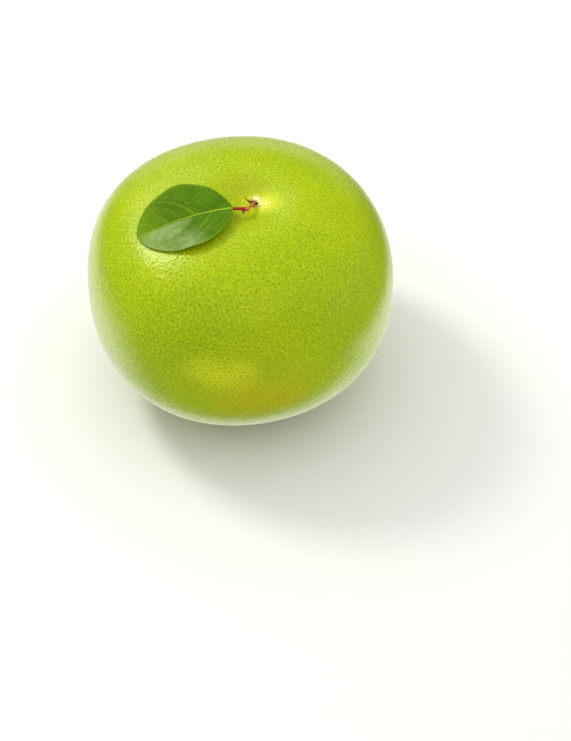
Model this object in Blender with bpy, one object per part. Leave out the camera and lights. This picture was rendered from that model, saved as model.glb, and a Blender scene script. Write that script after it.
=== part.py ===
"""A whole green pomelo, as picked, with one leaf on a short twig.

Metres, +Z up. The fruit rests on a small flat spot at the origin, with its stem end up.
The leaf points to -X and lies a little above the peel.
"""

import math

import bmesh
import bpy
from mathutils import Vector

MM = 0.001

# Fruit: a flattened round body, a little squarer over the shoulders than a plain ellipse
FRUIT_RADIUS = 75.0 * MM
CROWN_HEIGHT = 55.2 * MM
BELLY_DEPTH = 58.5 * MM
CROWN_SQUARENESS = 2.6
BELLY_SQUARENESS = 2.35
FLAT_SPOT_DEPTH = 0.5 * MM
WAIST = Vector((0.0, 0.0, BELLY_DEPTH - FLAT_SPOT_DEPTH))

# Slight lobes round the waist: how many, how strong, and the angle of the first one's peak
WAIST_LOBES = ((2, 0.0043, 106.0), (3, 0.0025, -4.0), (4, 0.0114, -126.0))

# The wide, shallow stem dimple stands a little off the middle
STEM_OFFSET = 6.0 * MM
DIMPLE_DEPTH = 5.0 * MM
DIMPLE_RADIUS = 17.0 * MM
SKIN_SUBDIVISIONS = 5


def from_waist(x, y, z):
    """A point given in millimetres from the middle of the fruit's waist."""
    return WAIST + Vector((x, y, z)) * MM


# Leaf: a midrib bent over the shoulder, and two half blades folded up along it
LEAF_BASE = from_waist(-4.0, -10.0, 57.6)
LEAF_BEND = from_waist(-25.5, -15.0, 59.0)
LEAF_TIP = from_waist(-47.9, -19.1, 47.2)
BACK_HALF_WIDTH = 18.9 * MM
FRONT_HALF_WIDTH = 18.1 * MM
BACK_TAPER = (0.62, 0.66)
FRONT_TAPER = (0.61, 0.64)
FOLD_ANGLE = 0.136
ROLL_AT_BASE = 0.069
ROLL_TO_TIP = 0.155
BLADE_BOW = 0.068
BLADE_THICKNESS = 0.62 * MM
RIB_DEPTH = 0.9 * MM
RIB_WIDTH = 0.9 * MM
EDGE_WAVE = 0.45 * MM
EDGE_WAVES = 2.5
BASE_PINCH = 0.2
BASE_PINCH_REACH = 0.07
LEAF_ROWS = 40
LEAF_COLUMNS = 12
COLUMN_CROWDING = 1.6
LEAF_END_MERGE = 0.02 * MM

# Twig: a stub out of the dimple, a knuckle, the leaf stalk, a bud and a thin spike
STUB_FOOT = from_waist(6.6, 0.5, 50.6)
STUB_COLLAR = from_waist(6.6, 0.5, 52.0)
STUB_NECK = from_waist(5.3, -3.7, 53.4)
STUB_RADII = (1.65 * MM, 1.15 * MM, 0.95 * MM, 0.8 * MM)
KNUCKLE = from_waist(3.2, -8.2, 55.1)
KNUCKLE_RADIUS = 1.15 * MM
KNUCKLE_LENGTH = 2.8 * MM
STALK_MIDDLE = from_waist(-0.2, -9.2, 56.1)
STALK_END = from_waist(-3.7, -9.9, 56.75)
STALK_RADII = (0.75 * MM, 0.62 * MM, 0.66 * MM)
BUD_CENTRE = from_waist(1.7, -9.3, 54.9)
BUD_DIRECTION = Vector((-0.35, -0.55, -0.75)).normalized()
BUD_RADIUS = 0.65 * MM
BUD_LENGTH = 2.3 * MM
SPIKE_START = from_waist(5.7, -1.5, 52.7)
SPIKE_MIDDLE = from_waist(3.5, -1.7, 54.5)
SPIKE_END = from_waist(1.9, -0.8, 56.5)
SPIKE_RADII = (0.6 * MM, 0.42 * MM, 0.3 * MM)
ROD_ROUNDNESS = 3
ROD_STEPS = 4
ROD_MERGE = 0.001 * MM
LUMP_SEGMENTS = 14
LUMP_RINGS = 9

PEEL_GREEN = (0.36, 0.52, 0.02)
PEEL_ROUGHNESS = 0.42
LEAF_GREEN = (0.10, 0.26, 0.02)
LEAF_ROUGHNESS = 0.45
TWIG_BROWN = (0.38, 0.06, 0.03)
TWIG_ROUGHNESS = 0.6


def clear_scene():
    for obj in list(bpy.data.objects):
        bpy.data.objects.remove(obj, do_unlink=True)


def new_collection(name):
    collection = bpy.data.collections.new(name)
    bpy.context.scene.collection.children.link(collection)
    return collection


def new_material(name, colour, roughness):
    material = bpy.data.materials.new(name)
    material.use_nodes = True
    shader = material.node_tree.nodes["Principled BSDF"]
    shader.inputs["Base Color"].default_value = (*colour, 1.0)
    shader.inputs["Roughness"].default_value = roughness
    shader.inputs["Metallic"].default_value = 0.0
    return material


def object_from_bmesh(name, bm, collection, material):
    mesh = bpy.data.meshes.new(name)
    bm.to_mesh(mesh)
    bm.free()
    mesh.materials.append(material)
    mesh.shade_smooth()
    obj = bpy.data.objects.new(name, mesh)
    collection.objects.link(obj)
    return obj


def lobe_factor(direction):
    """How much wider the waist is in this direction, fading out towards both ends."""
    angle = math.atan2(direction.y, direction.x)
    fade = math.hypot(direction.x, direction.y)
    swell = sum(
        strength * math.cos(count * angle - math.radians(start))
        for count, strength, start in WAIST_LOBES
    )
    return 1.0 + fade * swell


def fruit_point(direction):
    """The point of the skin in a unit direction from the middle of the waist."""
    crown = direction.z > 0.0
    squareness = CROWN_SQUARENESS if crown else BELLY_SQUARENESS
    height = CROWN_HEIGHT if crown else BELLY_DEPTH
    sideways = math.hypot(direction.x, direction.y) / (FRUIT_RADIUS * lobe_factor(direction))
    upward = abs(direction.z) / height
    reach = (sideways**squareness + upward**squareness) ** (-1.0 / squareness)
    point = direction * reach
    if crown:
        off_stem = math.hypot(point.x - STEM_OFFSET, point.y)
        point.z -= DIMPLE_DEPTH * math.exp(-((off_stem / DIMPLE_RADIUS) ** 2))
    return point + WAIST


def make_fruit(collection, material):
    bm = bmesh.new()
    bmesh.ops.create_icosphere(bm, subdivisions=SKIN_SUBDIVISIONS, radius=1.0)
    for vert in bm.verts:
        vert.co = fruit_point(vert.co.normalized())
    bmesh.ops.bisect_plane(
        bm,
        geom=bm.verts[:] + bm.edges[:] + bm.faces[:],
        plane_co=(0.0, 0.0, 0.0),
        plane_no=(0.0, 0.0, -1.0),
        clear_outer=True,
    )
    rim = [edge for edge in bm.edges if edge.is_boundary]
    bmesh.ops.holes_fill(bm, edges=rim)
    bmesh.ops.recalc_face_normals(bm, faces=bm.faces[:])
    return object_from_bmesh("fruit", bm, collection, material)


def leaf_half_width(along, back):
    """The blade's half width at a share of the midrib's length, nil at both ends."""
    widest = BACK_HALF_WIDTH if back else FRONT_HALF_WIDTH
    rise, fall = BACK_TAPER if back else FRONT_TAPER
    peak = rise / (rise + fall)
    pinch = 1.0 - BASE_PINCH * math.exp(-along / BASE_PINCH_REACH)
    return pinch * widest * (along / peak) ** rise * ((1.0 - along) / (1.0 - peak)) ** fall


def leaf_frame(along):
    """Midrib point, direction to the back edge, and upward normal."""
    back_share = 1.0 - along
    point = (
        LEAF_BASE * back_share**2
        + LEAF_BEND * (2.0 * along * back_share)
        + LEAF_TIP * along**2
    )
    tangent = (LEAF_BEND - LEAF_BASE) * back_share + (LEAF_TIP - LEAF_BEND) * along
    side = tangent.cross(Vector((0.0, 0.0, 1.0))).normalized()
    up = side.cross(tangent).normalized()
    return point, side, up


def leaf_point(along, across, underside):
    """A point of the blade: across runs from -1 at the front edge to 1 at the back edge."""
    point, side, up = leaf_frame(along)
    back = across > 0.0
    width = leaf_half_width(along, back)
    reach = abs(across) * width
    roll = ROLL_AT_BASE + ROLL_TO_TIP * along
    angle = FOLD_ANGLE + (roll if back else -roll)
    wave = EDGE_WAVE * math.sin(math.tau * EDGE_WAVES * along) * abs(across) ** 3
    fullness = math.sin(math.pi * along)
    rise = math.sin(angle) * reach - BLADE_BOW * width * across**2 + wave * fullness
    outward = math.cos(angle) * reach * (1.0 if back else -1.0)
    point = point + side * outward + up * rise
    if underside:
        rib = RIB_DEPTH * (1.0 - along) * math.exp(-((reach / RIB_WIDTH) ** 2))
        point = point - up * (BLADE_THICKNESS + rib)
    return point


def make_leaf(collection, material):
    """A flat slab of equal triangles on both faces, moved to the leaf's form."""
    bm = bmesh.new()
    bmesh.ops.create_grid(bm, x_segments=LEAF_ROWS, y_segments=LEAF_COLUMNS, size=1.0)
    bmesh.ops.triangulate(bm, faces=bm.faces[:])
    bmesh.ops.solidify(bm, geom=bm.faces[:], thickness=1.0)
    middle = sum(vert.co.z for vert in bm.verts) / len(bm.verts)
    for vert in bm.verts:
        along = min(max((vert.co.x + 1.0) / 2.0, 0.0), 1.0)
        column = min(max(vert.co.y, -1.0), 1.0)
        across = math.copysign(abs(column) ** COLUMN_CROWDING, column)
        vert.co = leaf_point(along, across, vert.co.z < middle)
    bmesh.ops.remove_doubles(bm, verts=bm.verts[:], dist=LEAF_END_MERGE)
    bmesh.ops.recalc_face_normals(bm, faces=bm.faces[:])
    return object_from_bmesh("leaf", bm, collection, material)


def tapered_rod(name, points, radii, collection):
    """A closed rod through the points, made a mesh so that it can be joined."""
    curve = bpy.data.curves.new(name, "CURVE")
    curve.dimensions = "3D"
    curve.bevel_depth = 1.0
    curve.bevel_resolution = ROD_ROUNDNESS
    curve.resolution_u = ROD_STEPS
    curve.use_fill_caps = True
    spline = curve.splines.new("BEZIER")
    spline.bezier_points.add(len(points) - 1)
    for control, point, radius in zip(spline.bezier_points, points, radii):
        control.co = point
        control.radius = radius
        control.handle_left_type = "AUTO"
        control.handle_right_type = "AUTO"
    guide = bpy.data.objects.new(name, curve)
    collection.objects.link(guide)
    graph = bpy.context.evaluated_depsgraph_get()
    mesh = bpy.data.meshes.new_from_object(guide.evaluated_get(graph))
    bm = bmesh.new()
    bm.from_mesh(mesh)
    bmesh.ops.remove_doubles(bm, verts=bm.verts[:], dist=ROD_MERGE)
    bmesh.ops.recalc_face_normals(bm, faces=bm.faces[:])
    bm.to_mesh(mesh)
    bm.free()
    rod = bpy.data.objects.new(name + "_solid", mesh)
    rod.matrix_world = guide.matrix_world
    collection.objects.link(rod)
    bpy.data.objects.remove(guide, do_unlink=True)
    return rod


def rounded_lump(name, centre, axis, radius, length, collection):
    """An egg of the given radius, drawn out along an axis."""
    bm = bmesh.new()
    bmesh.ops.create_uvsphere(bm, u_segments=LUMP_SEGMENTS, v_segments=LUMP_RINGS, radius=radius)
    turn = axis.to_track_quat("Z", "Y")
    for vert in bm.verts:
        vert.co.z *= length / (2.0 * radius)
        vert.co = turn @ vert.co + centre
    mesh = bpy.data.meshes.new(name)
    bm.to_mesh(mesh)
    bm.free()
    lump = bpy.data.objects.new(name, mesh)
    collection.objects.link(lump)
    return lump


def join_pieces(target, pieces_collection):
    """One Boolean union of the target with every object of the collection."""
    union = target.modifiers.new("union", "BOOLEAN")
    union.operation = "UNION"
    union.operand_type = "COLLECTION"
    union.collection = pieces_collection
    union.solver = "EXACT"
    graph = bpy.context.evaluated_depsgraph_get()
    mesh = bpy.data.meshes.new_from_object(target.evaluated_get(graph))
    target.modifiers.remove(union)
    target.data = mesh
    for obj in list(pieces_collection.objects):
        bpy.data.objects.remove(obj, do_unlink=True)
    bpy.data.collections.remove(pieces_collection)


def make_twig(collection, material):
    pieces = new_collection("twig pieces")
    stub_points = [STUB_FOOT, STUB_COLLAR, STUB_NECK, KNUCKLE]
    stub = tapered_rod("stub", stub_points, STUB_RADII, pieces)
    stub.name = "twig"
    collection.objects.link(stub)
    pieces.objects.unlink(stub)
    tapered_rod("stalk", [KNUCKLE, STALK_MIDDLE, STALK_END], STALK_RADII, pieces)
    tapered_rod("spike", [SPIKE_START, SPIKE_MIDDLE, SPIKE_END], SPIKE_RADII, pieces)
    stalk_direction = (STALK_END - KNUCKLE).normalized()
    rounded_lump("knuckle", KNUCKLE, stalk_direction, KNUCKLE_RADIUS, KNUCKLE_LENGTH, pieces)
    rounded_lump("bud", BUD_CENTRE, BUD_DIRECTION, BUD_RADIUS, BUD_LENGTH, pieces)
    join_pieces(stub, pieces)
    stub.data.materials.clear()
    stub.data.materials.append(material)
    stub.data.shade_smooth()
    return stub


def main():
    clear_scene()
    pomelo = new_collection("pomelo")
    peel = new_material("peel", PEEL_GREEN, PEEL_ROUGHNESS)
    blade = new_material("leaf blade", LEAF_GREEN, LEAF_ROUGHNESS)
    bark = new_material("twig bark", TWIG_BROWN, TWIG_ROUGHNESS)
    make_fruit(pomelo, peel)
    make_leaf(pomelo, blade)
    make_twig(pomelo, bark)


main()
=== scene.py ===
"""The looks of a whole green pomelo with one leaf on a short twig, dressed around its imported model.

Metres, +Z up. The fruit rests at the origin with its stem end up, and the leaf points to -X.
"""

import math
import random

import bmesh
import bpy
from mathutils import Matrix, Vector, noise

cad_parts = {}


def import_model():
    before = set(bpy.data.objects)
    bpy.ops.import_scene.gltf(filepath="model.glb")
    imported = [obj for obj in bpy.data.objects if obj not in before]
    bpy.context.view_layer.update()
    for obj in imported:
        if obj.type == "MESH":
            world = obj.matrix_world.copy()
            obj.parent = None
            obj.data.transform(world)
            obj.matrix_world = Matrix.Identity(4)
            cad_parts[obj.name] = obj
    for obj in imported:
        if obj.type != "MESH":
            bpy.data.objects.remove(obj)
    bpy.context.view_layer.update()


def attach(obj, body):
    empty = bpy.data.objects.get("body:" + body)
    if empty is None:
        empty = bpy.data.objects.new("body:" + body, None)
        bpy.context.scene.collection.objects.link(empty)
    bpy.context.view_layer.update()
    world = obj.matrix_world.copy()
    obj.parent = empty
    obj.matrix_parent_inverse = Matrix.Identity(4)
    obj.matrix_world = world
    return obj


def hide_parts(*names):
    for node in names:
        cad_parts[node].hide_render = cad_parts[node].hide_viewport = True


MM = 0.001

# Fruit body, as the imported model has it
FRUIT_RADIUS = 75.0 * MM
CROWN_HEIGHT = 55.2 * MM
BELLY_DEPTH = 58.5 * MM
CROWN_SQUARENESS = 2.6
BELLY_SQUARENESS = 2.35
FLAT_SPOT_DEPTH = 0.5 * MM
WAIST = Vector((0.0, 0.0, BELLY_DEPTH - FLAT_SPOT_DEPTH))
WAIST_LOBES = ((2, 0.0043, 106.0), (3, 0.0025, -4.0), (4, 0.0114, -126.0))
STEM_OFFSET = 6.0 * MM
DIMPLE_DEPTH = 5.0 * MM
DIMPLE_RADIUS = 17.0 * MM

# Peel: oil glands about 2.3 mm apart, each a small dark pit between glossy bumps. Their spacing
# is a share of the fruit's radius, and they stray from their rows by a share of the spacing.
GLAND_SEED = 11
GLAND_ROWS = 8
GLAND_EVENNESS = 0.87
GLAND_SPACING = 0.031
GLAND_STRAY = 0.36
PIT_DEPTH = 0.22 * MM
PIT_SHALLOWEST = 0.6
SWELL_DEPTH = 0.35 * MM
SWELL_SIZE = 13.0 * MM
BLOSSOM_END = (0.0, 0.0, 0.0)
BLOSSOM_SCAR_DEPTH = 0.4 * MM
BLOSSOM_SCAR_RADIUS = 4.0 * MM


def from_waist(x, y, z):
    """A point given in millimetres from the middle of the fruit's waist."""
    return WAIST + Vector((x, y, z)) * MM


# Leaf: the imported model's midrib and half blades, with veins and teeth added, and a finer base that
# reaches a little further along the stalk
LEAF_BASE = from_waist(-3.3, -9.9, 57.55)
LEAF_BEND = from_waist(-25.5, -15.0, 59.0)
LEAF_TIP = from_waist(-47.9, -19.1, 47.2)
BACK_HALF_WIDTH = 18.9 * MM
FRONT_HALF_WIDTH = 18.1 * MM
BACK_TAPER = (0.62, 0.66)
FRONT_TAPER = (0.61, 0.64)
FOLD_ANGLE = 0.136
ROLL_AT_BASE = 0.069
ROLL_TO_TIP = 0.155
BLADE_BOW = 0.068
BLADE_THICKNESS = 0.62 * MM
EDGE_THINNING = 0.7
EDGE_THINNING_POWER = 6
LEAF_RIM_ANGLE = math.radians(50.0)
RIB_DEPTH = 0.9 * MM
RIB_WIDTH = 0.9 * MM
EDGE_WAVE = 0.45 * MM
EDGE_WAVES = 2.5
EDGE_WAVE_POWER = 3
LEAF_ROWS = 260
LEAF_COLUMNS = 80
COLUMN_CROWDING = 1.2
LEAF_END_MERGE = 0.01 * MM
BASE_PINCH = 0.42
BASE_PINCH_REACH = 0.05
LEAF_LENGTH = 47.0 * MM
GROOVE_DEPTH = 0.16 * MM
GROOVE_WIDTH = 0.45 * MM
TOOTH_COUNT = 34
TOOTH_DEPTH = 0.018
TOOTH_POWER = 14

# Side veins: where each leaves the midrib, as a share of its length, and how clear it is
FRONT_VEINS = (
    (-0.13, 0.6),
    (0.08, 0.4),
    (0.22, 1.0),
    (0.45, 0.4),
    (0.61, 0.6),
    (0.76, 0.3),
    (0.88, 0.3),
)
BACK_VEINS = (
    (-0.08, 0.3),
    (0.08, 0.3),
    (0.22, 0.4),
    (0.4, 0.9),
    (0.54, 0.3),
    (0.67, 0.5),
    (0.83, 0.5),
)

# How the side veins lean to the tip, bend, wander and fade, with soft pillows between them
FRONT_VEIN_LEAN = (0.66, 1.75)
BACK_VEIN_LEAN = (0.5, 1.35)
STRAIGHTEST_BEND = 0.001
VEIN_WIDTH = 0.2 * MM
VEIN_WANDER = 0.02
VEIN_WANDER_PACE = (6.0, 3.0)
VEIN_EDGE_FADE = 0.8
VEIN_EDGE_SPAN = (0.6, 0.98)
QUILT_HEIGHT = 0.26 * MM
QUILT_ENDS = (-0.4, 1.1)

# Painted sheen on the front half, a pale film that stands in for the shine: where it rises and falls,
# as shares of the midrib and half width
PAINTED_SHEEN_TIP_SPAN = (0.4, 0.49)
PAINTED_SHEEN_OUTER_SPAN = (0.3, 0.75)
PAINTED_SHEEN_OUTER_START = (0.28, 0.5)
PAINTED_SHEEN_RIB_SPAN = (0.02, 0.1)
PAINTED_SHEEN_END_SPAN = (0.9, 1.0)
PAINTED_SHEEN_GAP = 0.45
PAINTED_SHEEN_GAP_WIDTH = 0.8 * MM

# Twig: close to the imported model's, but its foot sinks into the peel and its stalk meets the leaf
STUB_FOOT = from_waist(6.5, 0.4, 49.9)
STUB_COLLAR = from_waist(6.3, 0.2, 51.7)
STUB_NECK = from_waist(5.3, -3.7, 53.2)
KNUCKLE = from_waist(3.2, -8.2, 55.1)
STALK_MIDDLE = from_waist(-0.2, -9.2, 56.2)
STALK_END = from_waist(-4.1, -10.0, 57.1)
BUD_CENTRE = from_waist(1.7, -9.3, 54.9)
BUD_DIRECTION = Vector((-0.35, -0.55, -0.75)).normalized()
SPIKE_START = from_waist(5.7, -1.5, 52.7)
SPIKE_MIDDLE = from_waist(3.5, -1.7, 54.5)
SPIKE_END = from_waist(1.9, -0.8, 56.5)
STUB_RADII = (1.7 * MM, 1.05 * MM, 0.75 * MM, 0.8 * MM)
STALK_RADII = (0.95 * MM, 0.78 * MM, 0.62 * MM)
SPIKE_RADII = (0.55 * MM, 0.36 * MM, 0.2 * MM)
KNUCKLE_RADIUS = 1.15 * MM
KNUCKLE_LENGTH = 2.8 * MM
BUD_RADIUS = 0.65 * MM
BUD_LENGTH = 2.3 * MM
ROD_ROUNDNESS = 6
ROD_STEPS = 12
LUMP_SEGMENTS = 24
LUMP_RINGS = 16
TWIG_SMOOTHING = 0.5
BARK_LUMP = 0.09 * MM
BARK_LUMP_SIZE = 0.9 * MM

# Twig skin: size of its mesh in millimetres, and how softly one bark colour meets the next
TWIG_VOXEL = 0.1
PAINT_OVERLAP = 0.15
PAINT_SHARPNESS = 4

# Camera: the photograph's viewing angle, found by fitting the fruit's outline
IMAGE_WIDTH = 571
IMAGE_HEIGHT = 741
SENSOR = 36.0
FOCAL_PIXELS = 2044.1
CAMERA_ELEVATION = math.radians(45.6)
CAMERA_DISTANCE = 1.0
WAIST_PIXEL = (240.0, 279.2)


class Nodes:
    """A node tree in the making: short ways to add nodes and to join them."""

    def __init__(self, tree):
        self.tree = tree

    def feed(self, socket, value):
        """Joins a node's output to the socket, or sets the socket to a plain value."""
        if isinstance(value, bpy.types.NodeSocket):
            self.tree.links.new(value, socket)
        elif isinstance(value, tuple) and len(value) == 3 and socket.type == "RGBA":
            socket.default_value = (*value, 1.0)
        else:
            socket.default_value = value

    def maths(self, operation, first, second=0.0, third=0.0):
        node = self.tree.nodes.new("ShaderNodeMath")
        node.operation = operation
        for socket, value in zip(node.inputs, (first, second, third)):
            self.feed(socket, value)
        return node.outputs[0]

    def vector_maths(self, operation, first, second=(0.0, 0.0, 0.0), output="Vector"):
        node = self.tree.nodes.new("ShaderNodeVectorMath")
        node.operation = operation
        self.feed(node.inputs[0], first)
        self.feed(node.inputs[1], second)
        return node.outputs[output]

    def span(self, value, low, high, start=0.0, end=1.0):
        """Turns a value that runs from low to high into one from start to end, with eased ends."""
        node = self.tree.nodes.new("ShaderNodeMapRange")
        node.interpolation_type = "SMOOTHSTEP"
        for socket, number in zip(node.inputs, (value, low, high, start, end)):
            self.feed(socket, number)
        return node.outputs[0]


class Finish(Nodes):
    """A material in the making, on Blender's own surface shader."""

    def __init__(self, name, **shader_values):
        self.material = bpy.data.materials.new(name)
        self.material.use_nodes = True
        super().__init__(self.material.node_tree)
        self.shader = self.tree.nodes["Principled BSDF"]
        for socket, value in shader_values.items():
            self.shader.inputs[socket.replace("_", " ")].default_value = value

    def place(self):
        return self.tree.nodes.new("ShaderNodeTexCoord").outputs["Object"]

    def attribute(self, name, output="Fac"):
        node = self.tree.nodes.new("ShaderNodeAttribute")
        node.attribute_name = name
        return node.outputs[output]

    def blend(self, share, first, second):
        """Goes from the first colour, at a share of 0, to the second, at 1."""
        node = self.tree.nodes.new("ShaderNodeMix")
        node.data_type = "RGBA"
        self.feed(node.inputs[0], share)
        self.feed(node.inputs[6], first)
        self.feed(node.inputs[7], second)
        return node.outputs[2]

    def noise(self, size, detail=3.0, roughness=0.5):
        """Cloudy noise with blotches of about this size in metres."""
        node = self.tree.nodes.new("ShaderNodeTexNoise")
        self.feed(node.inputs["Vector"], self.place())
        node.inputs["Scale"].default_value = 1.0 / size
        node.inputs["Detail"].default_value = detail
        node.inputs["Roughness"].default_value = roughness
        return node.outputs["Fac"]

    def cells(self, size, feature):
        """Cell pattern with cells of about this size in metres."""
        node = self.tree.nodes.new("ShaderNodeTexVoronoi")
        node.feature = feature
        self.feed(node.inputs["Vector"], self.place())
        node.inputs["Scale"].default_value = 1.0 / size
        return node.outputs["Distance"]

    def distance(self, point, stretch=(1.0, 1.0, 1.0)):
        """Distance of the surface from a point, in metres, each axis divided by its stretch."""
        moved = self.vector_maths("SUBTRACT", self.place(), point)
        scaled = self.vector_maths("DIVIDE", moved, stretch)
        return self.vector_maths("LENGTH", scaled, output="Value")

    def patch(self, colour, value, near, far, share, paint):
        """Lays paint over a colour: this share of it up to near, then less, and none past far."""
        return self.blend(self.span(value, near, far, share, 0.0), colour, paint)

    def colour(self, value):
        self.feed(self.shader.inputs["Base Color"], value)

    def roughness(self, value):
        self.feed(self.shader.inputs["Roughness"], value)

    def relief(self, height, depth):
        """Fine relief of this depth in metres, too small for the mesh."""
        node = self.tree.nodes.new("ShaderNodeBump")
        node.inputs["Distance"].default_value = depth
        self.feed(node.inputs["Height"], height)
        self.feed(self.shader.inputs["Normal"], node.outputs["Normal"])
        self.feed(self.shader.inputs["Coat Normal"], node.outputs["Normal"])


# Colours of the peel, linear as all colours here
PEEL_GREEN = (0.35, 0.48, 0.001)
PEEL_DEEP_GREEN = (0.26, 0.41, 0.001)
PEEL_YELLOW = (0.52, 0.6, 0.002)
PEEL_GLOW = (0.72, 0.77, 0.01)
PEEL_PAINTED_HIGHLIGHT = (0.95, 0.92, 0.5)
# Pale specks below are painted glints, and the olive is painted shade
PEEL_PAINTED_GLINT = (0.62, 0.7, 0.02)
PEEL_OLIVE_SHADE = (0.37, 0.37, 0.02)
PEEL_RIPE_AND_BOUNCE = (0.56, 0.47, 0.002)
GLAND_GREEN = (0.16, 0.26, 0.001)
SCAR_BROWN = (0.22, 0.14, 0.05)
PEEL_SHEEN = (0.8, 0.95, 0.08)

# Sizes of the peel's blotches, painted glints and bumps, and how far the edge of the yellow and
# orange patches low on the front wanders
PEEL_MOTTLE_SIZE = 34.0 * MM
PEEL_NET_SIZE = 1.3 * MM
PAINTED_GLINT_SIZE = 0.9 * MM
PEEL_BUMP_SIZE = 1.2 * MM
PEEL_RELIEF = 0.1 * MM
LOW_PATCH_EDGE_SIZE = 16.0 * MM
LOW_PATCH_EDGE_WANDER = 22.0 * MM


def peel_finish():
    """Green waxy peel: each patch is named for its place on the fruit. Some patches are painted
    shade, painted highlight or painted bounce light, as their comments say.
    """
    finish = Finish(
        "peel",
        Roughness=0.34,
        Specular_IOR_Level=0.3,
        Coat_Weight=0.65,
        Coat_Roughness=0.23,
        Specular_Tint=(*PEEL_SHEEN, 1.0),
    )
    mottle = finish.span(finish.noise(PEEL_MOTTLE_SIZE, 3.0), 0.35, 0.7, 0.0, 0.6)
    colour = finish.blend(mottle, PEEL_GREEN, PEEL_DEEP_GREEN)
    # Painted shade: deeper green on the lower left of the front, where less light falls
    painted_shade_low_left = finish.distance(from_waist(-20.0, -59.0, 36.0), (1.2, 1.0, 1.0))
    colour = finish.patch(colour, painted_shade_low_left, 4.0 * MM, 30.0 * MM, 1.0, PEEL_DEEP_GREEN)
    # Painted shade: deeper green on the right flank, away from the softbox
    painted_shade_right_flank = finish.distance(from_waist(44.0, -45.0, 37.0))
    colour = finish.patch(colour, painted_shade_right_flank, 8.0 * MM, 48.0 * MM, 0.6, PEEL_DEEP_GREEN)
    net = finish.span(finish.noise(PEEL_NET_SIZE, 2.0, 0.6), 0.42, 0.68, 0.0, 0.6)
    colour = finish.blend(net, colour, PEEL_YELLOW)
    # Painted glints: pale specks in the colour that stand in for shine off the bumps
    painted_glints = finish.span(finish.noise(PAINTED_GLINT_SIZE, 1.0), 0.6, 0.72, 0.0, 0.35)
    colour = finish.blend(painted_glints, colour, PEEL_PAINTED_GLINT)
    # Pale ring round the stem: partly the peel's own paler stem end, partly painted light on the
    # dimple's near wall and a painted highlight
    stem_halo_and_painted_light = finish.distance(from_waist(10.2, 0.7, 50.4), (1.3, 1.0, 1.0))
    colour = finish.patch(colour, stem_halo_and_painted_light, 1.0 * MM, 11.0 * MM, 0.85, PEEL_GLOW)
    colour = finish.patch(colour, stem_halo_and_painted_light, 0.0, 5.0 * MM, 0.35, PEEL_PAINTED_HIGHLIGHT)
    # Painted highlight: a near-white spot just beside the stem
    painted_stem_highlight = finish.distance(from_waist(7.5, 3.7, 50.5), (1.0, 1.3, 1.0))
    colour = finish.patch(colour, painted_stem_highlight, 0.4 * MM, 2.6 * MM, 1.0, PEEL_PAINTED_HIGHLIGHT)
    # Painted shade: olive tone on the dimple's far slope above the stem
    painted_shade_far_slope = finish.distance(from_waist(2.0, 11.0, 51.5), (1.6, 1.0, 1.0))
    colour = finish.patch(colour, painted_shade_far_slope, 3.0 * MM, 12.0 * MM, 0.45, PEEL_OLIVE_SHADE)
    # Yellow and orange patches low on the front: partly the peel's own blush, partly painted bounce
    # light
    wander = finish.maths("MULTIPLY", finish.noise(LOW_PATCH_EDGE_SIZE, 3.0), LOW_PATCH_EDGE_WANDER)
    front_low_blush_and_bounce = finish.distance(from_waist(-7.0, -73.4, 11.0), (1.5, 1.0, 0.85))
    front_low_blush_and_bounce = finish.maths("ADD", front_low_blush_and_bounce, wander)
    colour = finish.patch(colour, front_low_blush_and_bounce, 9.0 * MM, 29.0 * MM, 0.65, PEEL_GLOW)
    ripening_and_bounce = finish.distance(from_waist(12.0, -73.0, -3.0), (1.7, 1.0, 1.0))
    ripening_and_bounce = finish.maths("ADD", ripening_and_bounce, wander)
    colour = finish.patch(colour, ripening_and_bounce, 11.0 * MM, 36.0 * MM, 0.65, PEEL_RIPE_AND_BOUNCE)
    scar = finish.distance(BLOSSOM_END)
    colour = finish.patch(colour, scar, 2.5 * MM, 5.0 * MM, 0.9, SCAR_BROWN)
    pit = finish.span(finish.attribute("gland"), 0.12, 0.95, 0.0, 0.62)
    colour = finish.blend(pit, colour, GLAND_GREEN)
    finish.colour(colour)
    bumps = finish.cells(PEEL_BUMP_SIZE, "SMOOTH_F1")
    grain = finish.noise(PEEL_NET_SIZE, 1.0)
    finish.relief(finish.maths("ADD", bumps, grain), PEEL_RELIEF)
    return finish.material


LEAF_GREEN = (0.068, 0.168, 0.001)
LEAF_DARK = (0.044, 0.124, 0.001)
LEAF_FRESH = (0.15, 0.28, 0.003)
LEAF_RIB = (0.32, 0.43, 0.02)
LEAF_VEIN = (0.22, 0.37, 0.03)
# Pale film painted on the front half for its sheen
LEAF_PAINTED_SHEEN = (0.22, 0.312, 0.105)
LEAF_SHEEN = (0.7, 0.9, 0.25)
LEAF_UNDERSIDE = (0.2, 0.32, 0.05)
LEAF_GLOSSY_SIDE = 0.34
LEAF_DULL_SIDE = 0.6
LEAF_CLOUD_SIZE = 7.0 * MM
LEAF_NET_SIZE = 1.5 * MM
PAINTED_SHEEN_PATCH_SIZE = 4.0 * MM
LEAF_RELIEF = 0.04 * MM
RIB_NARROWING = 0.45 * MM


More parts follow.
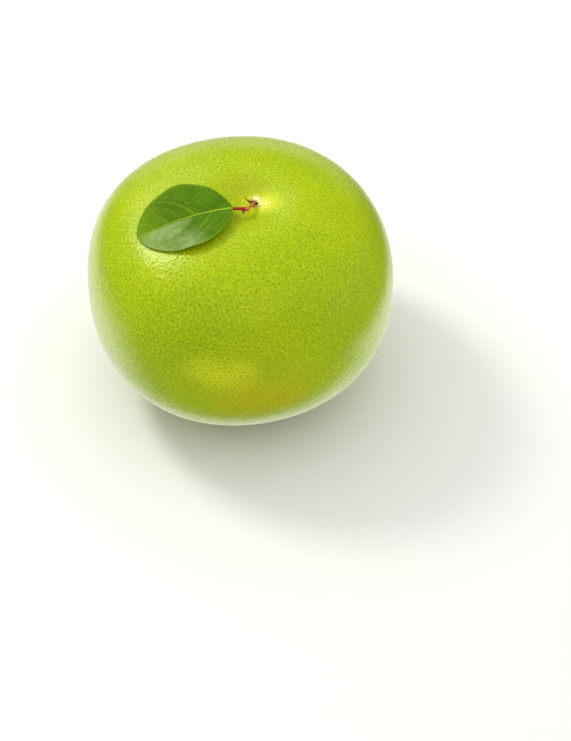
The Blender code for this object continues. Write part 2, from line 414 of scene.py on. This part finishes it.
def leaf_finish():
    """Leathery green blade, glossier on its front half, with its veins and a painted sheen."""
    finish = Finish("leaf blade", Specular_IOR_Level=0.14, Specular_Tint=(*LEAF_SHEEN, 1.0))
    along = finish.attribute("along")
    across = finish.attribute("across")
    wide = finish.maths("ABSOLUTE", across)
    finish.roughness(finish.span(across, -0.06, 0.06, LEAF_GLOSSY_SIDE, LEAF_DULL_SIDE))
    cloud = finish.span(finish.noise(LEAF_CLOUD_SIZE, 3.0), 0.35, 0.7)
    colour = finish.blend(cloud, LEAF_GREEN, LEAF_DARK)
    tip = finish.span(along, 0.6, 1.0, 0.0, 0.7)
    colour = finish.blend(tip, colour, LEAF_FRESH)
    edge = finish.span(wide, 0.86, 1.0, 0.0, 0.6)
    colour = finish.blend(edge, colour, LEAF_FRESH)
    net = finish.cells(LEAF_NET_SIZE, "DISTANCE_TO_EDGE")
    colour = finish.patch(colour, net, 0.0, 0.14, 0.2, LEAF_VEIN)
    # Painted sheen: pale patches on the front half that stand in for its shine
    painted_sheen_patches = finish.span(finish.noise(PAINTED_SHEEN_PATCH_SIZE, 3.0), 0.34, 0.62, 0.4, 0.9)
    painted_sheen = finish.maths("MULTIPLY", finish.attribute("painted_sheen"), painted_sheen_patches)
    colour = finish.blend(painted_sheen, colour, LEAF_PAINTED_SHEEN)
    colour = finish.blend(finish.attribute("vein"), colour, LEAF_VEIN)
    rib = finish.maths("MULTIPLY_ADD", along, RIB_NARROWING, finish.attribute("reach"))
    colour = finish.patch(colour, rib, 0.15 * MM, 0.65 * MM, 1.0, LEAF_RIB)
    colour = finish.blend(finish.attribute("underside"), colour, LEAF_UNDERSIDE)
    finish.colour(colour)
    finish.relief(finish.span(net, 0.0, 0.2), LEAF_RELIEF)
    return finish.material


BARK_RED = (0.36, 0.035, 0.012)
BARK_PALE = (0.66, 0.37, 0.2)
BARK_ORANGE = (0.56, 0.2, 0.06)
BARK_ROSE = (0.6, 0.2, 0.13)
BARK_DARK = (0.1, 0.02, 0.008)
BUD_RED = (0.5, 0.02, 0.05)
BARK_SPOT_SIZE = 0.7 * MM
BARK_GRAIN_SIZE = 0.25 * MM
BARK_RELIEF = 0.05 * MM


def twig_finish():
    """Young bark: the colours painted on the mesh, with dark spots and a fine grain."""
    finish = Finish("twig bark", Roughness=0.55, Specular_IOR_Level=0.2)
    colour = finish.attribute("paint", "Color")
    spots = finish.span(finish.noise(BARK_SPOT_SIZE, 2.0), 0.52, 0.66, 0.0, 0.65)
    colour = finish.blend(spots, colour, BARK_DARK)
    finish.colour(colour)
    finish.relief(finish.noise(BARK_GRAIN_SIZE, 2.0), BARK_RELIEF)
    return finish.material


FLOOR_PALE = (0.82, 0.82, 0.82)
FLOOR_SHADE = (0.8, 0.8, 0.8)
FLOOR_CLOUD_SIZE = 0.4
FLOOR_RADIUS = 4.0
FLOOR_SEGMENTS = 96


def floor_finish():
    finish = Finish("pale floor", Roughness=0.9)
    cloud = finish.span(finish.noise(FLOOR_CLOUD_SIZE, 1.0), 0.3, 0.7)
    finish.colour(finish.blend(cloud, FLOOR_PALE, FLOOR_SHADE))
    return finish.material


def lobe_factor(direction):
    """How much wider the waist is in this direction, fading out towards both ends."""
    angle = math.atan2(direction.y, direction.x)
    fade = math.hypot(direction.x, direction.y)
    swell = sum(
        strength * math.cos(count * angle - math.radians(start))
        for count, strength, start in WAIST_LOBES
    )
    return 1.0 + fade * swell


def fruit_point(direction):
    """The point of the skin in a unit direction from the middle of the waist."""
    crown = direction.z > 0.0
    squareness = CROWN_SQUARENESS if crown else BELLY_SQUARENESS
    height = CROWN_HEIGHT if crown else BELLY_DEPTH
    sideways = math.hypot(direction.x, direction.y) / (FRUIT_RADIUS * lobe_factor(direction))
    upward = abs(direction.z) / height
    reach = (sideways**squareness + upward**squareness) ** (-1.0 / squareness)
    point = direction * reach
    if crown:
        off_stem = math.hypot(point.x - STEM_OFFSET, point.y)
        point.z -= DIMPLE_DEPTH * math.exp(-((off_stem / DIMPLE_RADIUS) ** 2))
    return point + WAIST


def finished_piece(name, bm, material, node):
    """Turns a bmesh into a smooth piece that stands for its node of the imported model."""
    mesh = bpy.data.meshes.new(name)
    bm.to_mesh(mesh)
    bm.free()
    mesh.materials.append(material)
    mesh.shade_smooth()
    piece = bpy.data.objects.new(name, mesh)
    bpy.context.scene.collection.objects.link(piece)
    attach(piece, "root")
    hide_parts(node)
    return piece


def stray(direction, draw):
    """Moves a gland a little over the skin, so that the rows of glands don't show."""
    turn = draw.uniform(0.0, math.tau)
    step = GLAND_SPACING * GLAND_STRAY * math.sqrt(draw.random())
    side = direction.orthogonal().normalized()
    other = direction.cross(side)
    return (direction + side * step * math.cos(turn) + other * step * math.sin(turn)).normalized()


def make_peel(material):
    """The skin, with a pit sunk at every gland and the mesh raised between the glands."""
    draw = random.Random(GLAND_SEED)
    bm = bmesh.new()
    bmesh.ops.create_icosphere(bm, subdivisions=3, radius=1.0)
    bmesh.ops.subdivide_edges(bm, edges=bm.edges[:], cuts=GLAND_ROWS, use_grid_fill=True)
    gland_depth = bm.verts.layers.float.new("gland")
    for vert in bm.verts:
        vert.co = stray(vert.co.normalized(), draw)
    halved = bmesh.ops.subdivide_edges(bm, edges=bm.edges[:], cuts=1, use_grid_fill=True)
    between = {part for part in halved["geom_inner"] if isinstance(part, bmesh.types.BMVert)}
    for vert in bm.verts:
        evened = Vector((vert.co.x, vert.co.y, vert.co.z * GLAND_EVENNESS))
        vert.co = fruit_point(evened.normalized())
    bm.normal_update()
    for vert in bm.verts:
        vert[gland_depth] = 0.0 if vert in between else draw.uniform(PIT_SHALLOWEST, 1.0)
        swell = 0.5 + 0.5 * noise.noise(vert.co / SWELL_SIZE)
        vert.co -= vert.normal * (PIT_DEPTH * vert[gland_depth] + SWELL_DEPTH * swell)
    for vert in bm.verts:
        off_scar = math.hypot(vert.co.x, vert.co.y) / BLOSSOM_SCAR_RADIUS
        vert.co.z = max(vert.co.z, BLOSSOM_SCAR_DEPTH * math.exp(-(off_scar**2)))
    bmesh.ops.recalc_face_normals(bm, faces=bm.faces[:])
    return finished_piece("peel", bm, material, "fruit")


def leaf_half_width(along, back):
    """The blade's half width at a share of the midrib's length, nil at both ends."""
    widest = BACK_HALF_WIDTH if back else FRONT_HALF_WIDTH
    rise, fall = BACK_TAPER if back else FRONT_TAPER
    peak = rise / (rise + fall)
    pinch = 1.0 - BASE_PINCH * math.exp(-along / BASE_PINCH_REACH)
    return pinch * widest * (along / peak) ** rise * ((1.0 - along) / (1.0 - peak)) ** fall


def leaf_frame(along):
    """Midrib point, direction to the back edge, and upward normal."""
    back_share = 1.0 - along
    point = (
        LEAF_BASE * back_share**2
        + LEAF_BEND * (2.0 * along * back_share)
        + LEAF_TIP * along**2
    )
    tangent = (LEAF_BEND - LEAF_BASE) * back_share + (LEAF_TIP - LEAF_BEND) * along
    side = tangent.cross(Vector((0.0, 0.0, 1.0))).normalized()
    up = side.cross(tangent).normalized()
    return point, side, up


def eased(value, span):
    """Rises from 0 to 1 while the value runs over the span, with soft ends."""
    low, high = span
    share = min(max((value - low) / (high - low), 0.0), 1.0)
    return share * share * (3.0 - 2.0 * share)


def vein_foot(along, across):
    """Where along the midrib a side vein through this point of the blade would start."""
    lean, curve = FRONT_VEIN_LEAN if across < 0.0 else BACK_VEIN_LEAN
    bend = lean * abs(across) ** curve
    foot = along
    if bend > STRAIGHTEST_BEND:
        foot = (1.0 - math.sqrt(1.0 - 4.0 * bend * (along - bend))) / (2.0 * bend)
    pace_along, pace_across = VEIN_WANDER_PACE
    wander = noise.noise(Vector((along * pace_along, across * pace_across, 0.0)))
    return foot + VEIN_WANDER * wander


def vein_clearness(along, across):
    """How much of a side vein shows at this point, from 0 to 1."""
    foot = vein_foot(along, across)
    veins = FRONT_VEINS if across < 0.0 else BACK_VEINS
    clearest = max(
        clearness * math.exp(-(((foot - start) * LEAF_LENGTH / VEIN_WIDTH) ** 2))
        for start, clearness in veins
    )
    return clearest * (1.0 - VEIN_EDGE_FADE * eased(abs(across), VEIN_EDGE_SPAN))


def painted_sheen_share(along, across):
    """Painted sheen on the front half, a pale film for the shine: towards the tip, and along the
    outer edge.
    """
    wide = max(-across, 0.0)
    foot = vein_foot(along, across)
    beyond = eased(foot, PAINTED_SHEEN_TIP_SPAN)
    outer = eased(wide, PAINTED_SHEEN_OUTER_SPAN) * eased(along, PAINTED_SHEEN_OUTER_START)
    nearest = min(abs(foot - start) for start, _ in FRONT_VEINS) * LEAF_LENGTH
    between_veins = 1.0 - PAINTED_SHEEN_GAP * math.exp(-((nearest / PAINTED_SHEEN_GAP_WIDTH) ** 2))
    ends = eased(wide, PAINTED_SHEEN_RIB_SPAN) * (1.0 - eased(along, PAINTED_SHEEN_END_SPAN))
    return max(beyond, outer) * between_veins * ends


def vein_relief(along, across, reach):
    """Height over the blade's smooth form: pillows between side veins, a groove at the midrib."""
    foot = vein_foot(along, across)
    veins = FRONT_VEINS if across < 0.0 else BACK_VEINS
    first, last = QUILT_ENDS
    starts = [first] + [start for start, _ in veins] + [last]
    pillow = 0.0
    for low, high in zip(starts, starts[1:]):
        if low <= foot <= high:
            pillow = math.sin(math.pi * (foot - low) / (high - low)) ** 2
    fade = math.sin(math.pi * min(abs(across), 1.0)) * math.sin(math.pi * along)
    groove = GROOVE_DEPTH * math.exp(-((reach / GROOVE_WIDTH) ** 2)) * math.sin(math.pi * along)
    return QUILT_HEIGHT * pillow * fade - groove


def leaf_point(along, across, underside):
    """A point of the blade, across from -1 in front to 1 behind, and its reach off the midrib."""
    point, side, up = leaf_frame(along)
    back = across > 0.0
    tooth = 0.5 + 0.5 * math.cos(math.tau * TOOTH_COUNT * along)
    tooth_depth = TOOTH_DEPTH * tooth * abs(across) ** TOOTH_POWER
    width = leaf_half_width(along, back) * (1.0 - tooth_depth)
    reach = abs(across) * width
    roll = ROLL_AT_BASE + ROLL_TO_TIP * along
    angle = FOLD_ANGLE + (roll if back else -roll)
    wave = EDGE_WAVE * math.sin(math.tau * EDGE_WAVES * along) * abs(across) ** EDGE_WAVE_POWER
    fullness = math.sin(math.pi * along)
    rise = math.sin(angle) * reach - BLADE_BOW * width * across**2 + wave * fullness
    rise += vein_relief(along, across, reach)
    outward = math.cos(angle) * reach * (1.0 if back else -1.0)
    point = point + side * outward + up * rise
    if underside:
        rib = RIB_DEPTH * (1.0 - along) * math.exp(-((reach / RIB_WIDTH) ** 2))
        thinned = 1.0 - EDGE_THINNING * abs(across) ** EDGE_THINNING_POWER
        point = point - up * (BLADE_THICKNESS * thinned + rib)
    return point, reach


def make_leaf(material):
    """The blade, with the attributes that its finish follows."""
    bm = bmesh.new()
    bmesh.ops.create_grid(bm, x_segments=LEAF_ROWS, y_segments=LEAF_COLUMNS, size=1.0)
    bmesh.ops.triangulate(bm, faces=bm.faces[:])
    bmesh.ops.solidify(bm, geom=bm.faces[:], thickness=1.0)
    names = ("along", "across", "reach", "underside", "vein", "painted_sheen")
    layers = [bm.verts.layers.float.new(name) for name in names]
    middle = sum(vert.co.z for vert in bm.verts) / len(bm.verts)
    for vert in bm.verts:
        along = min(max((vert.co.x + 1.0) / 2.0, 0.0), 1.0)
        column = min(max(vert.co.y, -1.0), 1.0)
        across = math.copysign(abs(column) ** COLUMN_CROWDING, column)
        underside = vert.co.z < middle
        vert.co, reach = leaf_point(along, across, underside)
        vein = vein_clearness(along, across)
        painted_sheen = painted_sheen_share(along, across)
        for layer, value in zip(layers, (along, across, reach, float(underside), vein, painted_sheen)):
            vert[layer] = value
    bmesh.ops.remove_doubles(bm, verts=bm.verts[:], dist=LEAF_END_MERGE)
    bmesh.ops.recalc_face_normals(bm, faces=bm.faces[:])
    piece = finished_piece("leaf_blade", bm, material, "leaf")
    piece.data.set_sharp_from_angle(angle=LEAF_RIM_ANGLE)
    return piece


def evaluated_mesh(guide):
    """The mesh that a guide curve or modifier makes. The guide itself is removed."""
    graph = bpy.context.evaluated_depsgraph_get()
    mesh = bpy.data.meshes.new_from_object(guide.evaluated_get(graph))
    bpy.data.objects.remove(guide, do_unlink=True)
    return mesh


def tapered_rod(points, radii):
    """A closed rod through the points, in millimetres, as a bare mesh."""
    curve = bpy.data.curves.new("rod", "CURVE")
    curve.dimensions = "3D"
    curve.bevel_depth = 1.0
    curve.bevel_resolution = ROD_ROUNDNESS
    curve.resolution_u = ROD_STEPS
    curve.use_fill_caps = True
    spline = curve.splines.new("BEZIER")
    spline.bezier_points.add(len(points) - 1)
    for control, point, radius in zip(spline.bezier_points, points, radii):
        control.co = point / MM
        control.radius = radius / MM
        control.handle_left_type = "AUTO"
        control.handle_right_type = "AUTO"
    guide = bpy.data.objects.new("rod", curve)
    bpy.context.scene.collection.objects.link(guide)
    return evaluated_mesh(guide)


def add_lump(bm, centre, axis, radius, length):
    """An egg drawn out along an axis, in millimetres."""
    turn = axis.to_track_quat("Z", "Y").to_matrix().to_4x4()
    stretch = Matrix.Diagonal((1.0, 1.0, length / (2.0 * radius), 1.0))
    bmesh.ops.create_uvsphere(
        bm,
        u_segments=LUMP_SEGMENTS,
        v_segments=LUMP_RINGS,
        radius=radius / MM,
        matrix=Matrix.Translation(centre / MM) @ turn @ stretch,
    )


def distance_to_path(point, path):
    """Shortest distance from a point to a line through several points."""
    shortest = None
    for start, end in zip(path, path[1:]):
        step = end - start
        share = min(max((point - start).dot(step) / step.length_squared, 0.0), 1.0)
        gap = (point - start - step * share).length
        shortest = gap if shortest is None else min(gap, shortest)
    return shortest


# Stem scales round the stub's foot: centre, axis, radius, length and colour
STEM_SCALES = (
    (from_waist(7.9, -0.4, 51.3), Vector((0.5, -0.2, 1.0)), 0.62 * MM, 1.9 * MM, BARK_DARK),
    (from_waist(6.3, -1.5, 51.2), Vector((0.0, -0.6, 1.0)), 0.7 * MM, 1.7 * MM, BARK_ROSE),
    (from_waist(4.9, -0.6, 51.4), Vector((-0.6, -0.1, 1.0)), 0.6 * MM, 1.9 * MM, BARK_PALE),
    (from_waist(5.6, 1.4, 51.5), Vector((-0.3, 0.5, 1.0)), 0.6 * MM, 1.8 * MM, BARK_PALE),
    (from_waist(7.4, 1.3, 51.2), Vector((0.4, 0.4, 1.0)), 0.55 * MM, 1.5 * MM, BARK_ORANGE),
)

# How far up a scale its colour's path runs, as a share of its axis taken in millimetres
SCALE_PATH_REACH = 0.5


def scale_paths():
    """A short path up each stem scale, with its radius and colour."""
    for centre, axis, radius, _, colour in STEM_SCALES:
        yield (centre, centre + axis * SCALE_PATH_REACH * MM), radius, colour


# Parts of the twig as paths to colour it by, each with its radius and colour
TWIG_PATHS = (
    ((KNUCKLE, STALK_MIDDLE, STALK_END), 0.65 * MM, BARK_RED),
    ((STUB_FOOT, STUB_COLLAR), 1.1 * MM, BARK_PALE),
    ((STUB_NECK, KNUCKLE), 0.8 * MM, BARK_ORANGE),
    ((KNUCKLE + Vector((0.6, 0.3, 0.0)) * MM, KNUCKLE), 1.1 * MM, BARK_ORANGE),
    ((BUD_CENTRE - BUD_DIRECTION * MM, BUD_CENTRE + BUD_DIRECTION * MM), 0.6 * MM, BUD_RED),
    ((SPIKE_START, SPIKE_MIDDLE), 0.35 * MM, BARK_DARK),
    ((SPIKE_MIDDLE, SPIKE_END), 0.25 * MM, BARK_ORANGE),
    # Painted shade under the knuckle, in the bark's dark colour
    ((from_waist(4.4, -7.9, 54.2), from_waist(3.0, -8.9, 53.9)), 0.35 * MM, BARK_DARK),
    *scale_paths(),
)


def twig_colour(point):
    """The colour of the nearest part of the twig, running into its neighbours."""
    weights = []
    for path, radius, _ in TWIG_PATHS:
        gap = max(distance_to_path(point, path) - radius, 0.0) / MM
        weights.append(1.0 / (gap + PAINT_OVERLAP) ** PAINT_SHARPNESS)
    whole = sum(weights)
    parts = [Vector(colour) * weight for weight, (_, _, colour) in zip(weights, TWIG_PATHS)]
    return sum(parts, Vector((0.0, 0.0, 0.0))) / whole


def twig_parts():
    """The rods and lumps of the twig, still separate, in millimetres, as one mesh."""
    bm = bmesh.new()
    rods = (
        ((STUB_FOOT, STUB_COLLAR, STUB_NECK, KNUCKLE), STUB_RADII),
        ((KNUCKLE, STALK_MIDDLE, STALK_END), STALK_RADII),
        ((SPIKE_START, SPIKE_MIDDLE, SPIKE_END), SPIKE_RADII),
    )
    for points, radii in rods:
        bm.from_mesh(tapered_rod(points, radii))
    add_lump(bm, KNUCKLE, STALK_END - KNUCKLE, KNUCKLE_RADIUS, KNUCKLE_LENGTH)
    add_lump(bm, BUD_CENTRE, BUD_DIRECTION, BUD_RADIUS, BUD_LENGTH)
    for centre, axis, radius, length, _ in STEM_SCALES:
        add_lump(bm, centre, axis, radius, length)
    bmesh.ops.recalc_face_normals(bm, faces=bm.faces[:])
    mesh = bpy.data.meshes.new("twig parts")
    bm.to_mesh(mesh)
    bm.free()
    return mesh


def grown_together(mesh):
    """One closed skin round everything in the mesh."""
    guide = bpy.data.objects.new("twig_parts", mesh)
    bpy.context.scene.collection.objects.link(guide)
    merge = guide.modifiers.new("grown together", "REMESH")
    merge.mode = "VOXEL"
    merge.voxel_size = TWIG_VOXEL
    return evaluated_mesh(guide)


def make_twig(material):
    """The twig as one lumpy skin, painted in its parts' colours."""
    bm = bmesh.new()
    bm.from_mesh(grown_together(twig_parts()))
    bmesh.ops.smooth_vert(
        bm,
        verts=bm.verts[:],
        factor=TWIG_SMOOTHING,
        use_axis_x=True,
        use_axis_y=True,
        use_axis_z=True,
    )
    bmesh.ops.scale(bm, vec=(MM, MM, MM), verts=bm.verts[:])
    bm.normal_update()
    paint = bm.verts.layers.float_color.new("paint")
    for vert in bm.verts:
        vert[paint] = (*twig_colour(vert.co), 1.0)
        vert.co += vert.normal * BARK_LUMP * noise.noise(vert.co / BARK_LUMP_SIZE)
    return finished_piece("twig_bark", bm, material, "twig")


def make_floor(material):
    bm = bmesh.new()
    bmesh.ops.create_circle(bm, cap_ends=True, segments=FLOOR_SEGMENTS, radius=FLOOR_RADIUS)
    mesh = bpy.data.meshes.new("floor")
    bm.to_mesh(mesh)
    bm.free()
    mesh.materials.append(material)
    floor = bpy.data.objects.new("floor", mesh)
    bpy.context.scene.collection.objects.link(floor)
    floor.visible_glossy = False


def make_camera():
    """Stands at the photograph's angle and turns until the waist falls on its own pixel."""
    forward = Vector((0.0, math.cos(CAMERA_ELEVATION), -math.sin(CAMERA_ELEVATION)))
    right = Vector((1.0, 0.0, 0.0))
    above = right.cross(forward)
    place = WAIST - forward * CAMERA_DISTANCE
    off_right = (IMAGE_WIDTH / 2.0 - WAIST_PIXEL[0]) / FOCAL_PIXELS * CAMERA_DISTANCE
    off_below = (IMAGE_HEIGHT / 2.0 - WAIST_PIXEL[1]) / FOCAL_PIXELS * CAMERA_DISTANCE
    target = WAIST + right * off_right - above * off_below
    turn = forward.rotation_difference(target - place)
    right, above, forward = turn @ right, turn @ above, turn @ forward
    data = bpy.data.cameras.new("camera")
    data.sensor_width = SENSOR
    data.lens = FOCAL_PIXELS * SENSOR / IMAGE_HEIGHT
    camera = bpy.data.objects.new("camera", data)
    camera.rotation_mode = "QUATERNION"
    camera.rotation_quaternion = Matrix((right, above, -forward)).transposed().to_quaternion()
    camera.location = place
    bpy.context.scene.collection.objects.link(camera)
    bpy.context.scene.camera = camera


# Studio lamps: two discs at one place behind the fruit's upper left. The small core lights the
# fruit and casts its shadow, and the larger sheen is seen only as a bright spot on what is glossy.
SOFTBOX_DIRECTION = Vector((-0.565, 0.35, 0.757)).normalized()
SOFTBOX_DISTANCE = 0.95
CORE_SIZE = 0.26
SHEEN_SIZE = 0.41
SOFTBOX_POWER = 4.3
SOFTBOX_COLOUR = (1.0, 0.97, 0.9)

# Pale walls all round fill the shade: how bright each is, and the span over which it takes over
FILL_COLOUR = (1.0, 1.0, 0.97)
WALL_FILL = 0.44
CEILING_FILL = 1.18
CEILING_SPAN = (0.0, 0.9)
LEFT_WALL_FILL = 0.88
LEFT_WALL_SPAN = (-0.95, -0.4)
RIGHT_WALL_FILL = 2.25
RIGHT_WALL_SPAN = (0.7, 1.0)

# What a glossy surface mirrors instead: a white sheet below and behind, the foot of the back wall,
# and a soft glow above it on the left, with nearly dark surroundings
SURROUND_GLOSS = 0.02
SHEET_GLOSS = 1.35
SHEET_DIRECTION = (-0.12, 0.15, -1.0)
SHEET_SPAN = (0.41, 0.61)
SHEET_FRONT_SPAN = (-0.25, 0.2)
BACK_WALL_GLOSS = 0.62
BACK_WALL_SPAN = (0.8, 1.0)
BACK_WALL_TOP_SPAN = (0.05, 0.28)
GLOW_GLOSS = 1.0
GLOW_DIRECTION = (-0.39, 0.65, 0.65)
GLOW_SPAN = (0.88, 0.95)


def make_softbox(name, size):
    """A round lamp of this diameter that looks at the middle of the fruit's waist."""
    data = bpy.data.lights.new(name, "AREA")
    data.shape = "DISK"
    data.size = size
    data.energy = SOFTBOX_POWER
    data.color = SOFTBOX_COLOUR
    lamp = bpy.data.objects.new(name, data)
    lamp.location = WAIST + SOFTBOX_DIRECTION * SOFTBOX_DISTANCE
    lamp.rotation_mode = "QUATERNION"
    lamp.rotation_quaternion = (-SOFTBOX_DIRECTION).to_track_quat("-Z", "Y")
    bpy.context.scene.collection.objects.link(lamp)
    return lamp


class Walls(Nodes):
    """The studio's surroundings in the making, by the direction that a ray goes off in."""

    def __init__(self, name):
        self.world = bpy.data.worlds.new(name)
        self.world.use_nodes = True
        super().__init__(self.world.node_tree)
        self.direction = self.tree.nodes.new("ShaderNodeTexCoord").outputs["Generated"]
        parts = self.tree.nodes.new("ShaderNodeSeparateXYZ")
        self.feed(parts.inputs[0], self.direction)
        self.sideways, self.backwards, self.upwards = parts.outputs

    def toward(self, aim):
        """How nearly a ray goes towards the aim, 1 at best."""
        return self.vector_maths("DOT_PRODUCT", self.direction, aim, "Value")

    def fill(self):
        """How bright the walls are where they light the fruit."""
        ceiling = self.span(self.upwards, *CEILING_SPAN, WALL_FILL, CEILING_FILL)
        left = self.span(self.sideways, *LEFT_WALL_SPAN, LEFT_WALL_FILL, WALL_FILL)
        right = self.span(self.sideways, *RIGHT_WALL_SPAN, WALL_FILL, RIGHT_WALL_FILL)
        return self.maths("MAXIMUM", ceiling, self.maths("MAXIMUM", left, right))

    def gloss(self):
        """How bright the walls are where something glossy mirrors them."""
        on_sheet = self.span(self.toward(SHEET_DIRECTION), *SHEET_SPAN, SURROUND_GLOSS, SHEET_GLOSS)
        not_front = self.span(self.backwards, *SHEET_FRONT_SPAN, SURROUND_GLOSS, 1.0)
        sheet = self.maths("MULTIPLY", on_sheet, not_front)
        back_wall = self.span(self.backwards, *BACK_WALL_SPAN, SURROUND_GLOSS, BACK_WALL_GLOSS)
        not_high = self.span(self.upwards, *BACK_WALL_TOP_SPAN, 1.0, SURROUND_GLOSS)
        wall_foot = self.maths("MULTIPLY", back_wall, not_high)
        glow = self.span(self.toward(GLOW_DIRECTION), *GLOW_SPAN, SURROUND_GLOSS, GLOW_GLOSS)
        return self.maths("MAXIMUM", self.maths("MAXIMUM", sheet, wall_foot), glow)

    def light(self, fill, gloss):
        """Shines with the gloss brightness on glossy rays, and with the fill on all others."""
        path = self.tree.nodes.new("ShaderNodeLightPath")
        choice = self.tree.nodes.new("ShaderNodeMix")
        self.feed(choice.inputs[0], path.outputs["Is Glossy Ray"])
        self.feed(choice.inputs[2], fill)
        self.feed(choice.inputs[3], gloss)
        background = self.tree.nodes["Background"]
        self.feed(background.inputs["Color"], FILL_COLOUR)
        self.feed(background.inputs["Strength"], choice.outputs[0])


def make_studio():
    make_softbox("softbox core", CORE_SIZE).visible_glossy = False
    make_softbox("softbox sheen", SHEEN_SIZE).visible_diffuse = False
    walls = Walls("studio walls")
    walls.light(walls.fill(), walls.gloss())
    bpy.context.scene.world = walls.world
    bpy.context.scene.view_settings.view_transform = "Standard"


def main():
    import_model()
    make_camera()
    make_studio()
    make_floor(floor_finish())
    make_peel(peel_finish())
    make_leaf(leaf_finish())
    make_twig(twig_finish())


main()
